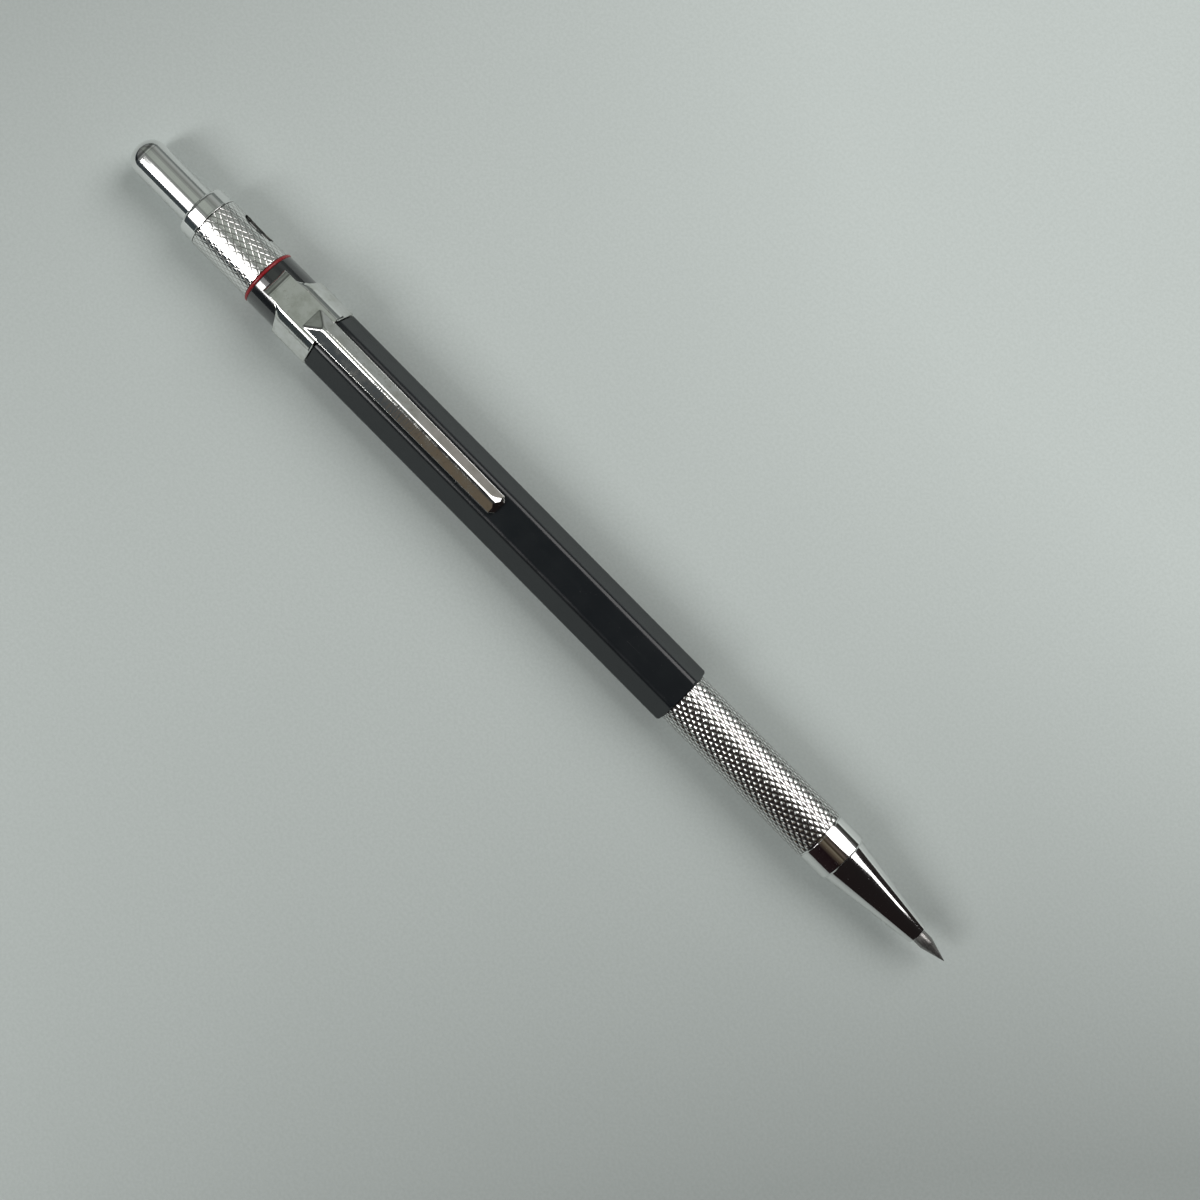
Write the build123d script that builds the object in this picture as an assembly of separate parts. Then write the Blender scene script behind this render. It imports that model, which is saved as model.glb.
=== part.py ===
from build123d import *
import math
import os

# A clutch lead holder for 2 mm drawing leads, lying on a table with its clip up.
#
# Lengths are millimetres. X runs along the pen from the push button to the lead's
# point, Z is up. A station is a distance along X from the button's rear end, and
# the pen's centre line is y = 0. Every sub-part is modelled about the centre line
# and then shifted so that the origin is under the middle of the whole pen.

# ---- driving dimensions: stations along the pen ----
COLLAR_REAR = 11.35
COLLAR_FRONT = 13.95
SLEEVE_FRONT = 23.95
RED_RING_FRONT = 24.4
CAP_FRONT = 29.4
BAND_REAR = 29.5
BAND_FRONT = 35.4
BARREL_FRONT = 101.65
GRIP_FRONT = 127.35
NOSE_RING_FRONT = 131.85
CONE_FRONT = 145.85
TOTAL_LENGTH = 150.85

# ---- driving dimensions: the outside ----
BARREL_FLATS = 8.0
BARREL_CORNER = 0.93
BARREL_CHAMFER = 0.3
BAND_FLATS = 8.3
BAND_CORNER = 1.15
BAND_SHEET = 0.27
BAND_LEAN = 1.1
SEAT_GAP = 0.02
BUTTON_RADIUS = 2.65
BUTTON_DOME = 1.8
COLLAR_RADIUS = 3.875
COLLAR_EDGE = 1.1
SLEEVE_RADIUS = 3.9
RED_RING_RADIUS = 4.135
CAP_RADIUS = 4.1
GRIP_RADIUS = 3.85
CONE_REAR_RADIUS = 3.5
CONE_TIP_RADIUS = 1.5

# ---- the lead ----
LEAD_RADIUS = 1.0
LEAD_LENGTH = 130.0
LEAD_POINT = 3.4
LEAD_BLUNT = 0.08

# ---- the clip ----
PLATE_REAR = 26.9
PLATE_FRONT = 32.8
PLATE_HALF_WIDTH = 2.02
SHOULDER_HALF_WIDTH = 2.95
SHOULDER_LOW = 3.1
SHOULDER_HIGH = 4.3
PLATE_TOP = 4.95
CLIP_SHEET = 0.36
RAMP_FRONT = 35.0
RIDGE_HEIGHT = 1.0
ARM_ROOT_HALF_WIDTH = 1.70
ARM_TIP_HALF_WIDTH = 1.465
ARM_DROP = 0.30
ARM_SKIRT = 0.25
FOOT_REAR = 60.9
CLIP_FRONT = 67.4
FOOT_GAP = 0.04
HINGE_GAP = 0.06

# ---- the clutch ----
JAW_REAR = 133.35
JAW_BORE = 1.01
JAW_SLOT = 0.3
NECK_STATION = 141.5
NECK_RADIUS = 1.16
THROAT_STATION = 145.25
THROAT_RADIUS = 1.28
MOUTH_RADIUS = 1.34
RUNNING_GAP = 0.02
JAW_ROOT_RADIUS = 1.70
JAW_SHOULDER = 136.0
CONE_BORE = 2.2
CONE_BORE_FRONT = 138.5

# ---- inner tubes, bores and the spring ----
TUBE_RADIUS = 1.6
TUBE_BORE = 1.15
TUBE_REAR = 8.0
TUBE_FRONT = 121.0
SOCKET_REAR = 117.0
SOCKET_FRONT = 123.0
SOCKET_RADIUS = 2.05
CLUTCH_RADIUS = 1.75
BARREL_BORE = 2.8
REAR_TUBE_RADIUS = 3.0
REAR_TUBE_BORE = 2.72
REAR_TUBE_REAR = 12.4
REAR_TUBE_FRONT = 36.5
SPIGOT_RADIUS = 3.3
SPIGOT_BORE = 2.75
SPIGOT_LENGTH = 8.0
SPRING_SEAT = 113.0
SEAT_LENGTH = 3.5
CONE_SPIGOT_RADIUS = 3.0
CONE_SPIGOT_REAR = 122.0
SPRING_COLLAR_REAR = 97.0
SPRING_COLLAR_FRONT = 99.0
SPRING_COLLAR_RADIUS = 2.6
SPRING_RADIUS = 2.4
SPRING_WIRE = 0.4
SPRING_TURNS = 9
BUTTON_BORE = 2.3
BUTTON_FRONT = 22.0
BUTTON_WALL = 1.6
BUSH_REAR = 12.0
BUSH_FRONT = 20.0

# ---- the lead-grade indicator ----
SLEEVE_BORE = 3.6
DRUM_RADIUS = 3.54
DRUM_REAR = 14.6
DRUM_FRONT = 23.4
END_PLAY = 0.05
WINDOW_CENTRE = 18.95
WINDOW_LENGTH = 4.95
WINDOW_WIDTH = 2.8
WINDOW_ANGLE = 73.0

AXIS_HEIGHT = BAND_FLATS / 2
CENTRE_STATION = TOTAL_LENGTH / 2


def turned(profile):
    """A solid turned about the pen's centre line from (station, radius) corners."""
    outline = Polyline(*profile, close=True)
    return revolve(Plane.XY * make_face(outline), Axis.X, 360)


def ring(rear, front, outer, inner):
    """A plain tube between two stations."""
    return turned([(rear, inner), (front, inner), (front, outer), (rear, outer)])


def crosswise(station):
    """A plane across the pen: its x is the pen's Y and its y is the pen's Z."""
    return Plane(origin=(station, 0, 0), x_dir=(0, 1, 0), z_dir=(1, 0, 0))


def hex_prism(rear, front, flats, corner):
    """A hexagonal prism with a flat on top and rounded long edges."""
    across_corners = flats / 2 / math.cos(math.radians(30))
    outline = RegularPolygon(across_corners, 6)
    rounded = fillet(outline.vertices(), corner)
    return extrude(crosswise(rear) * rounded, front - rear)


def barrel():
    """Hexagonal black barrel, reduced under the clip band, turned at its front end."""
    seat_flats = BAND_FLATS - 2 * (BAND_SHEET + SEAT_GAP)
    body = hex_prism(BAND_FRONT, BARREL_FRONT, BARREL_FLATS, BARREL_CORNER)
    seat = hex_prism(CAP_FRONT, BAND_FRONT, seat_flats, BARREL_CORNER - 0.1)
    spigot_rear = BARREL_FRONT - SPIGOT_LENGTH
    corner_radius = BARREL_FLATS / 2 / math.cos(math.radians(30))
    turned_end = turned([
        (CAP_FRONT - 1, 0),
        (BARREL_FRONT, 0),
        (BARREL_FRONT, corner_radius - BARREL_CHAMFER),
        (BARREL_FRONT - BARREL_CHAMFER, corner_radius),
        (CAP_FRONT - 1, corner_radius),
    ])
    solid = (body + seat) & turned_end
    solid -= ring(CAP_FRONT - 1, BARREL_FRONT + 1, BARREL_BORE, 0)
    solid -= ring(CAP_FRONT - 1, REAR_TUBE_FRONT, REAR_TUBE_RADIUS + SEAT_GAP, 0)
    solid -= ring(spigot_rear, BARREL_FRONT + 1, SPIGOT_RADIUS + SEAT_GAP, 0)
    return solid


def grip_sleeve():
    """Front metal grip: a spigot into the barrel, the spring's seat and a nose socket."""
    spigot_rear = BARREL_FRONT - SPIGOT_LENGTH
    seat_front = SPRING_SEAT + SEAT_LENGTH
    return turned([
        (spigot_rear, SPIGOT_BORE),
        (SPRING_SEAT, SPIGOT_BORE),
        (SPRING_SEAT, CONE_BORE),
        (seat_front, CONE_BORE),
        (seat_front, CONE_SPIGOT_RADIUS + SEAT_GAP),
        (GRIP_FRONT, CONE_SPIGOT_RADIUS + SEAT_GAP),
        (GRIP_FRONT, GRIP_RADIUS),
        (BARREL_FRONT, GRIP_RADIUS),
        (BARREL_FRONT, SPIGOT_RADIUS),
        (spigot_rear, SPIGOT_RADIUS),
    ])


def nose_ring():
    """Smooth ring held between the grip and the nose cone."""
    edge = 0.3
    return turned([
        (GRIP_FRONT, CONE_SPIGOT_RADIUS + SEAT_GAP),
        (NOSE_RING_FRONT, CONE_SPIGOT_RADIUS + SEAT_GAP),
        (NOSE_RING_FRONT, GRIP_RADIUS - edge),
        (NOSE_RING_FRONT - edge, GRIP_RADIUS),
        (GRIP_FRONT, GRIP_RADIUS),
    ])


def nose_cone():
    """Nose cone: a spigot into the grip, an inner taper and a flared mouth for the jaws."""
    return turned([
        (CONE_SPIGOT_REAR, CONE_BORE),
        (CONE_BORE_FRONT, CONE_BORE),
        (THROAT_STATION, THROAT_RADIUS),
        (CONE_FRONT, MOUTH_RADIUS),
        (CONE_FRONT, CONE_TIP_RADIUS),
        (NOSE_RING_FRONT, CONE_REAR_RADIUS),
        (NOSE_RING_FRONT, CONE_SPIGOT_RADIUS),
        (CONE_SPIGOT_REAR, CONE_SPIGOT_RADIUS),
    ])


def rear_tube():
    """Thin metal tube that carries the collar, the indicator, the cap and the barrel."""
    return ring(REAR_TUBE_REAR, REAR_TUBE_FRONT, REAR_TUBE_RADIUS, REAR_TUBE_BORE)


def collar():
    """Smooth end ring, screwed on the rear tube, that the button slides through."""
    bore = BUTTON_RADIUS + 0.05
    body = turned([
        (COLLAR_REAR, bore),
        (REAR_TUBE_REAR, bore),
        (REAR_TUBE_REAR, REAR_TUBE_RADIUS + SEAT_GAP),
        (COLLAR_FRONT, REAR_TUBE_RADIUS + SEAT_GAP),
        (COLLAR_FRONT, COLLAR_RADIUS),
        (COLLAR_REAR, COLLAR_RADIUS),
    ])
    outer_rear_edge = body.edges().filter_by(GeomType.CIRCLE).filter_by(
        lambda edge: abs(edge.radius - COLLAR_RADIUS) < 1e-6
    ).sort_by(Axis.X)[0]
    return fillet(outer_rear_edge, COLLAR_EDGE)


def grade_drum():
    """Fixed drum that carries the lead-grade marks under the indicator's window."""
    return ring(DRUM_REAR, DRUM_FRONT, DRUM_RADIUS, REAR_TUBE_RADIUS + SEAT_GAP)


def indicator_sleeve():
    """Turning sleeve with a round-ended window in its side."""
    sleeve = ring(COLLAR_FRONT + END_PLAY, SLEEVE_FRONT - END_PLAY, SLEEVE_RADIUS, SLEEVE_BORE)
    slot = extrude(SlotOverall(WINDOW_LENGTH, WINDOW_WIDTH), 2 * SLEEVE_RADIUS)
    window = Pos(WINDOW_CENTRE, 0, 0) * Rot(-WINDOW_ANGLE, 0, 0) * slot
    return sleeve - window


def red_ring():
    """Thin coloured washer between the indicator and the rear cap."""
    return ring(SLEEVE_FRONT, RED_RING_FRONT, RED_RING_RADIUS, REAR_TUBE_RADIUS + SEAT_GAP)


def band_envelope(outer_flats, outer_corner, slack):
    """The space of the clip band: a hex prism whose rear edge leans back over the top."""
    prism = hex_prism(BAND_REAR - 1.5, BAND_FRONT, outer_flats, outer_corner)
    half = BAND_FLATS / 2
    rear = BAND_REAR - slack
    side_view = Polyline(
        (rear, -half - 1),
        (BAND_FRONT + 1, -half - 1),
        (BAND_FRONT + 1, half + 1),
        (rear - BAND_LEAN, half + 1),
        (rear - BAND_LEAN, half),
        (rear, 0),
        close=True,
    )
    keep = extrude(Plane.XZ * make_face(side_view), half + 2, both=True)
    return prism & keep


def rear_cap():
    """Round glossy cap, cut away where the clip band laps over it."""
    cap = ring(RED_RING_FRONT, CAP_FRONT, CAP_RADIUS, REAR_TUBE_RADIUS + SEAT_GAP)
    inner_flats = BAND_FLATS - 2 * (BAND_SHEET + SEAT_GAP)
    inner = hex_prism(BAND_REAR - 3, BAND_FRONT, inner_flats, BARREL_CORNER - 0.1)
    return cap - (band_envelope(BAND_FLATS + 1, BAND_CORNER, SEAT_GAP) - inner)


def clip_band():
    """Hexagonal band with the clip's raised table and its rolled rear lip."""
    inner_flats = BAND_FLATS - 2 * BAND_SHEET
    shell = band_envelope(BAND_FLATS, BAND_CORNER, 0)
    shell -= hex_prism(BAND_REAR - 3, BAND_FRONT + 1, inner_flats, BARREL_CORNER - 0.05)
    underside = PLATE_TOP - CLIP_SHEET
    lip_low = CAP_RADIUS + 0.05
    lip_radius = PLATE_TOP - lip_low
    lip_inner = lip_radius - CLIP_SHEET
    flat_sides = Polyline(
        (PLATE_REAR, PLATE_TOP),
        (PLATE_FRONT, PLATE_TOP),
        (PLATE_FRONT, underside),
        (PLATE_REAR, underside),
    )
    lip_end = Line((PLATE_REAR - lip_inner, lip_low), (PLATE_REAR - lip_radius, lip_low))
    lip_inside = CenterArc((PLATE_REAR, lip_low), lip_inner, 90, 90)
    lip_outside = CenterArc((PLATE_REAR, lip_low), lip_radius, 90, 90)
    side_view = make_face(flat_sides + lip_inside + lip_end + lip_outside)
    table = extrude(Plane.XZ * side_view, PLATE_HALF_WIDTH, both=True)
    web_rear = BAND_REAR - BAND_LEAN
    shoulders = Polyline(
        (-SHOULDER_HALF_WIDTH, SHOULDER_LOW),
        (-SHOULDER_HALF_WIDTH, SHOULDER_HIGH),
        (-PLATE_HALF_WIDTH, PLATE_TOP),
        (PLATE_HALF_WIDTH, PLATE_TOP),
        (SHOULDER_HALF_WIDTH, SHOULDER_HIGH),
        (SHOULDER_HALF_WIDTH, SHOULDER_LOW),
        close=True,
    )
    web = extrude(crosswise(web_rear) * make_face(shoulders), PLATE_FRONT - web_rear)
    web -= hex_prism(BAND_REAR - 3, BAND_FRONT + 1, inner_flats, BARREL_CORNER - 0.05)
    return shell + table + web


def gable(station, half_width, edge_height, ridge_height, skirt):
    """Roof-shaped channel section of the clip's arm, as a face across the pen."""
    inner_half = half_width - CLIP_SHEET
    inner_ridge = ridge_height - CLIP_SHEET * 1.1
    inner_edge = edge_height - CLIP_SHEET * 0.8
    foot = edge_height - skirt
    outline = Polyline(
        (-half_width, foot),
        (-half_width, edge_height),
        (0, ridge_height),
        (half_width, edge_height),
        (half_width, foot),
        (inner_half, foot),
        (inner_half, max(inner_edge, foot + 0.02)),
        (0, inner_ridge),
        (-inner_half, max(inner_edge, foot + 0.02)),
        (-inner_half, foot),
        close=True,
    )
    return crosswise(station) * make_face(outline)


def arm_shape(station):
    """Half width, edge height and ridge height of the arm at a station past the ramp."""
    share = (station - RAMP_FRONT) / (CLIP_FRONT - RAMP_FRONT)
    half_width = ARM_ROOT_HALF_WIDTH + share * (ARM_TIP_HALF_WIDTH - ARM_ROOT_HALF_WIDTH)
    edge = PLATE_TOP - share * ARM_DROP
    return half_width, edge, edge + RIDGE_HEIGHT


def clip_arm():
    """Springy arm of the clip: a ramp up from the table, a gabled arm and a foot."""
    root = PLATE_FRONT + HINGE_GAP
    ramp = loft([
        gable(root, PLATE_HALF_WIDTH, PLATE_TOP - 0.06, PLATE_TOP, ARM_SKIRT),
        gable(RAMP_FRONT, *arm_shape(RAMP_FRONT), ARM_SKIRT),
    ], ruled=True)
    arm = loft([
        gable(RAMP_FRONT, *arm_shape(RAMP_FRONT), ARM_SKIRT),
        gable(CLIP_FRONT - 1.0, *arm_shape(CLIP_FRONT - 1.0), ARM_SKIRT),
    ], ruled=True)
    foot_low = BARREL_FLATS / 2 + FOOT_GAP
    foot_height = arm_shape(CLIP_FRONT)[1] - foot_low + 0.1
    foot_half = ARM_TIP_HALF_WIDTH
    foot = Pos((FOOT_REAR + CLIP_FRONT) / 2, 0, foot_low + foot_height / 2) * Box(
        CLIP_FRONT - FOOT_REAR, 2 * foot_half, foot_height
    )
    tip_edges = foot.edges().filter_by(Axis.Z).group_by(Axis.X)[-1]
    foot = chamfer(tip_edges, 0.7)
    low_edge = foot.edges().filter_by(Axis.Y).group_by(Axis.X)[0].sort_by(Axis.Z)[0]
    foot = chamfer(low_edge, 0.3)
    return ramp + arm + foot


def button():
    """Push button: a deep cap with a domed end."""
    cup = turned([
        (0, 0),
        (BUTTON_WALL, 0),
        (BUTTON_WALL, BUTTON_BORE),
        (BUTTON_FRONT, BUTTON_BORE),
        (BUTTON_FRONT, BUTTON_RADIUS),
        (0, BUTTON_RADIUS),
    ])
    end_edge = cup.edges().filter_by(GeomType.CIRCLE).filter_by(
        lambda edge: abs(edge.radius - BUTTON_RADIUS) < 1e-6
    ).sort_by(Axis.X)[0]
    return fillet(end_edge, BUTTON_DOME)


def button_bush():
    """Bush that holds the button on the lead tube."""
    return ring(BUSH_REAR, BUSH_FRONT, BUTTON_BORE - SEAT_GAP, TUBE_RADIUS + SEAT_GAP)


def lead_tube():
    """Long tube between the button and the clutch, which the lead lies in."""
    return ring(TUBE_REAR, TUBE_FRONT, TUBE_RADIUS, TUBE_BORE)


def spring_collar():
    """Collar crimped on the lead tube, which the return spring pushes on."""
    return ring(
        SPRING_COLLAR_REAR, SPRING_COLLAR_FRONT, SPRING_COLLAR_RADIUS, TUBE_RADIUS + SEAT_GAP
    )


def return_spring():
    """Coil spring between the spring collar and the seat in the grip sleeve."""
    rear = SPRING_COLLAR_FRONT + SPRING_WIRE / 2 + SEAT_GAP
    front = SPRING_SEAT - SPRING_WIRE / 2 - SEAT_GAP
    length = front - rear
    pitch = length / SPRING_TURNS
    path = Helix(pitch, length, SPRING_RADIUS, center=(rear, 0, 0), direction=(1, 0, 0))
    wire = Plane(origin=path @ 0, z_dir=path % 0) * Circle(SPRING_WIRE / 2)
    return sweep(wire, path=path)


def clutch_body():
    """Rear of the clutch: a socket on the lead tube and the root of the three jaws."""
    front = JAW_REAR - 0.05
    return turned([
        (SOCKET_REAR, TUBE_RADIUS + SEAT_GAP),
        (TUBE_FRONT, TUBE_RADIUS + SEAT_GAP),
        (TUBE_FRONT, TUBE_BORE),
        (front, TUBE_BORE),
        (front, CLUTCH_RADIUS),
        (SOCKET_FRONT, CLUTCH_RADIUS),
        (SOCKET_FRONT, SOCKET_RADIUS),
        (SOCKET_REAR, SOCKET_RADIUS),
    ])


def jaw(number):
    """One of three jaws: a third of a tapered tube with a flared head at the mouth."""
    tube = turned([
        (JAW_REAR, JAW_BORE),
        (CONE_FRONT, JAW_BORE),
        (CONE_FRONT, MOUTH_RADIUS - RUNNING_GAP),
        (THROAT_STATION, THROAT_RADIUS - RUNNING_GAP),
        (NECK_STATION, NECK_RADIUS),
        (JAW_SHOULDER, JAW_ROOT_RADIUS),
        (JAW_REAR, JAW_ROOT_RADIUS),
    ])
    # a wedge that spans 120 degrees about +Z, less half a slot on each side
    reach = 3 * JAW_ROOT_RADIUS
    start = JAW_SLOT / 2 / math.sin(math.radians(60))
    rise = start + reach / math.tan(math.radians(60))
    outline = Polyline((0, start), (reach, rise), (0, 2 * reach), (-reach, rise), close=True)
    wedge = extrude(crosswise(JAW_REAR - 1) * make_face(outline), CONE_FRONT - JAW_REAR + 2)
    return Rot(-120 * (number - 1), 0, 0) * (tube & wedge)


def lead():
    """Drawing lead with a sharpened point."""
    return turned([
        (TOTAL_LENGTH - LEAD_LENGTH, 0),
        (TOTAL_LENGTH, 0),
        (TOTAL_LENGTH, LEAD_BLUNT),
        (TOTAL_LENGTH - LEAD_POINT, LEAD_RADIUS),
        (TOTAL_LENGTH - LEAD_LENGTH, LEAD_RADIUS),
    ])


PARTS = {
    "barrel": barrel(),
    "grip_sleeve": grip_sleeve(),
    "nose_ring": nose_ring(),
    "nose_cone": nose_cone(),
    "rear_tube": rear_tube(),
    "collar": collar(),
    "grade_drum": grade_drum(),
    "indicator_sleeve": indicator_sleeve(),
    "red_ring": red_ring(),
    "rear_cap": rear_cap(),
    "clip_band": clip_band(),
    "clip_arm": clip_arm(),
    "button": button(),
    "button_bush": button_bush(),
    "lead_tube": lead_tube(),
    "spring_collar": spring_collar(),
    "return_spring": return_spring(),
    "clutch_body": clutch_body(),
    "lead": lead(),
}
for number in (1, 2, 3):
    PARTS[f"jaw_{number}"] = jaw(number)

os.makedirs("parts", exist_ok=True)
for name, solid in PARTS.items():
    placed = Pos(-CENTRE_STATION, 0, AXIS_HEIGHT) * solid
    export_step(placed, f"parts/{name}.step")
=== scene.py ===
import math

import bmesh
import bpy
from mathutils import Matrix, Vector


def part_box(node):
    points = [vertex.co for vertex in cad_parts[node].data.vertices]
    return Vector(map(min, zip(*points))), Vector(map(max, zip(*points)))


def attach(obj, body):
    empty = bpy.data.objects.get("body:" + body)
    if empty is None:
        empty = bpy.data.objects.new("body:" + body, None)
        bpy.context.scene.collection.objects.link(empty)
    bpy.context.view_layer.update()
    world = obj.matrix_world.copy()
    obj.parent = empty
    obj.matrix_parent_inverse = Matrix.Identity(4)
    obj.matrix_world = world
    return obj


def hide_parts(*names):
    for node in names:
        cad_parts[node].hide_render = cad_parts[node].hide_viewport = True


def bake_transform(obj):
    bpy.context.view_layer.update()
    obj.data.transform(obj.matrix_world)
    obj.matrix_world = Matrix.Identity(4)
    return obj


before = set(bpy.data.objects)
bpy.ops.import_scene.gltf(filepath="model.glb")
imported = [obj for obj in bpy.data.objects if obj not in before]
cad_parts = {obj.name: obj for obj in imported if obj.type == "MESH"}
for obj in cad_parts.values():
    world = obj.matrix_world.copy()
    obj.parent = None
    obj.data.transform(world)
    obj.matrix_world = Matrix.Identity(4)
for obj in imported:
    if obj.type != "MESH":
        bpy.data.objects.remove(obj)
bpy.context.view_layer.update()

# --- Places, read from the frame. The pen lies along X with its point at +X. ---
MM = 0.001


def span(node):
    """Lowest and highest X of a CAD node."""
    low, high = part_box(node)
    return low.x, high.x


def radius_of(node):
    """Half the width of a CAD node across the pen."""
    low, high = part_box(node)
    return (high.y - low.y) / 2


REAR = span("button")[0]
AXIS_Z = sum(corner.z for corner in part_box("lead")) / 2
BARREL_FRONT = span("barrel")[1]
SPIGOT_REAR, GRIP_FRONT = span("grip_sleeve")
RING_FRONT = span("nose_ring")[1]
CONE_FRONT = span("nose_cone")[1]
POINT = span("lead")[1]
COLLAR_REAR, COLLAR_FRONT = span("collar")
SLEEVE_REAR, SLEEVE_FRONT = span("indicator_sleeve")


def station(millimetres):
    """X of a place that many millimetres in front of the button's rear end."""
    return REAR + millimetres * MM


# --- Sizes of the shapes made here, in millimetres unless said otherwise ---
FIT_GAP = 0.02
BARREL_APOTHEM = 4.0
BARREL_CORNER = 0.93
BAND_APOTHEM = 4.15
BAND_CORNER = 1.15
BAND_SHEET = 0.27
BAND_REAR = 29.6
BAND_FRONT = 35.4
ROUND_STEPS = 160
KNURL_STARTS = 30
KNURL_PERIOD = 1.41
GRIP_CREST = 3.85
GRIP_BORE = 3.02
GRIP_KNURL_DEPTH = 0.085
SLEEVE_CREST = 3.9
SLEEVE_BORE = 3.6
SLEEVE_KNURL_DEPTH = 0.022
WINDOW_CENTRE = 18.95
WINDOW_LENGTH = 4.95
WINDOW_WIDTH = 2.8
WINDOW_ANGLE = math.radians(73)
TUBE_SEAT = radius_of("rear_tube") + FIT_GAP * MM
DRUM_RADIUS = radius_of("grade_drum") - FIT_GAP * MM

# Places across a knurl's pitch, as (share of the pitch, height over the groove's bottom)
GRIP_CUTS = ((0.0, 0.0), (0.15, 0.32), (0.30, 0.64), (0.42, 0.92), (0.5, 1.0), (0.58, 0.92),
             (0.70, 0.64), (0.85, 0.32))
SLEEVE_CUTS = ((0.0, 0.0), (0.08, 0.45), (0.16, 0.86), (0.24, 1.0), (0.40, 1.0), (0.60, 1.0),
               (0.76, 1.0), (0.84, 0.86), (0.92, 0.45))


# --- Mesh building ---
def smooth(low, high, value):
    """0 below low, 1 above high, with an S-shaped rise."""
    share = min(max((value - low) / (high - low), 0.0), 1.0)
    return share * share * (3 - 2 * share)


def on_axis(x, radius, angle):
    """A point at a radius from the pen's axis; the angle is 0 on top and grows to +Y."""
    return Vector((x, radius * math.sin(angle), AXIS_Z + radius * math.cos(angle)))


def shade(piece, sharp_degrees):
    """Smooth shading with hard edges above an angle."""
    piece.data.shade_smooth()
    piece.data.set_sharp_from_angle(angle=math.radians(sharp_degrees))


def finish_mesh(name, bm, sharp_degrees=32.0):
    """Turn a bmesh into a smooth-shaded object with its hard edges marked."""
    bmesh.ops.recalc_face_normals(bm, faces=bm.faces)
    mesh = bpy.data.meshes.new(name)
    bm.to_mesh(mesh)
    bm.free()
    piece = bpy.data.objects.new(name, mesh)
    bpy.context.collection.objects.link(piece)
    shade(piece, sharp_degrees)
    return piece


def skin(name, loops, closed=False, capped=False, sharp_degrees=32.0):
    """Skin a row of point loops. A loop of one point is a pole."""
    bm = bmesh.new()
    rings = [[bm.verts.new(point) for point in loop] for loop in loops]
    pairs = list(zip(rings, rings[1:]))
    if closed:
        pairs.append((rings[-1], rings[0]))
    for first, second in pairs:
        count = max(len(first), len(second))
        for i in range(count):
            j = (i + 1) % count
            if len(first) == 1:
                bm.faces.new((first[0], second[j], second[i]))
            elif len(second) == 1:
                bm.faces.new((first[i], first[j], second[0]))
            else:
                bm.faces.new((first[i], first[j], second[j], second[i]))
    if capped:
        bm.faces.new(rings[0])
        bm.faces.new(rings[-1])
    return finish_mesh(name, bm, sharp_degrees)


def rounded(points, radii, steps=7):
    """A line of (x, r) points whose corners are turned into arcs of the given radii."""
    result = []
    count = len(points)
    for i, point in enumerate(points):
        here = Vector(point)
        if not radii.get(i):
            result.append(here)
            continue
        before = Vector(points[i - 1]) - here
        after = Vector(points[(i + 1) % count]) - here
        half = before.angle(after) / 2
        rear_room = before.length * (0.48 if radii.get(i - 1) else 0.97)
        front_room = after.length * (0.48 if radii.get((i + 1) % count) else 0.97)
        cut = min(radii[i] / math.tan(half), rear_room, front_room)
        radius = cut * math.tan(half)
        middle = (before.normalized() + after.normalized()).normalized()
        centre = here + middle * (radius / math.sin(half))
        start = here + before.normalized() * cut - centre
        end = here + after.normalized() * cut - centre
        sweep = start.angle(end)
        for step in range(steps + 1):
            near = math.sin(sweep * (1 - step / steps)) / math.sin(sweep)
            far = math.sin(sweep * step / steps) / math.sin(sweep)
            result.append(centre + start * near + end * far)
    return result


def lathe(name, profile, closed=True, steps=ROUND_STEPS, sharp_degrees=32.0):
    """Turn a profile of (x, radius) points in metres about the pen's axis."""
    loops = []
    for x, radius in profile:
        if radius < 1e-9:
            loops.append([on_axis(x, 0, 0)])
        else:
            turn = [2 * math.pi * i / steps for i in range(steps)]
            loops.append([on_axis(x, radius, angle) for angle in turn])
    return skin(name, loops, closed=closed, sharp_degrees=sharp_degrees)


def hexagon(apothem, corner, flat_steps=10, corner_steps=10):
    """(angle, radius) pairs round a hexagon with rounded corners, a flat on top."""
    half_side = math.radians(30)
    reach = (apothem - corner) / math.cos(half_side)
    flat_half = math.atan((apothem - corner) * math.tan(half_side) / apothem)
    corner_half = half_side - flat_half
    pairs = []
    for side in range(6):
        middle = math.radians(60 * side)
        for step in range(flat_steps):
            share = step / flat_steps
            # bunch the points towards the corners, to keep the flats flat
            spread = math.sin((share - 0.5) * math.pi)
            angle = flat_half * spread
            pairs.append((middle + angle, apothem / math.cos(angle)))
        for step in range(corner_steps):
            angle = corner_half * (2 * step / corner_steps - 1)
            radius = reach * math.cos(angle) + math.sqrt(
                corner ** 2 - (reach * math.sin(angle)) ** 2
            )
            pairs.append((middle + half_side + angle, radius))
    return pairs


def replace_mesh(piece, modifier):
    """Apply one modifier to a piece's mesh."""
    depsgraph = bpy.context.evaluated_depsgraph_get()
    mesh = bpy.data.meshes.new_from_object(piece.evaluated_get(depsgraph))
    piece.modifiers.remove(modifier)
    old = piece.data
    piece.data = mesh
    bpy.data.meshes.remove(old)


def boolean(piece, cutter, operation):
    """Cut or trim a closed piece with a closed cutter, which is then removed."""
    modifier = piece.modifiers.new("cut", "BOOLEAN")
    modifier.operation = operation
    modifier.solver = "EXACT"
    modifier.object = cutter
    replace_mesh(piece, modifier)
    mesh = cutter.data
    bpy.data.objects.remove(cutter)
    bpy.data.meshes.remove(mesh)


def drop_slivers(piece, distance=0.002 * MM):
    """Merge points that a cut left almost on top of each other."""
    bm = bmesh.new()
    bm.from_mesh(piece.data)
    bmesh.ops.remove_doubles(bm, verts=bm.verts, dist=distance)
    bmesh.ops.dissolve_degenerate(bm, edges=bm.edges, dist=distance)
    bm.to_mesh(piece.data)
    bm.free()


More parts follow.
